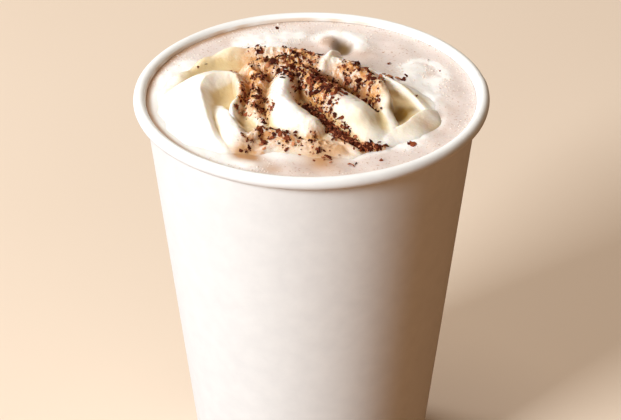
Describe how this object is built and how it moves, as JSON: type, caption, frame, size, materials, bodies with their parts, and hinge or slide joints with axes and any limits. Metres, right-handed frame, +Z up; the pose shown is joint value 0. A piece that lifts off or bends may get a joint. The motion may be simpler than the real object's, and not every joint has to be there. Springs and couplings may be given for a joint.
{
  "type": "cup of hot chocolate",
  "caption": "Paper cup filled with hot chocolate and topped with a swirl of whipped cream and chocolate shavings.",
  "frame": {"origin": "centre of the foot's edge, on the surface that the cup stands on", "axes": "+Z up along the cup's axis, -Y the front, +X to the right as seen from the front"},
  "size_m": [0.0901, 0.09, 0.1177],
  "materials": {
    "cup_paper": "matte white paperboard",
    "chocolate_froth": "moist milky froth, pale pinkish brown",
    "cream": "soft satin whipped cream",
    "dark_chocolate": "dry broken chocolate"
  },
  "bodies": {
    "root": {"cup_wall": "cup_paper", "cup_base": "cup_paper", "drink": "chocolate_froth", "whipped_cream": "cream"}
  },
  "joints": []
}
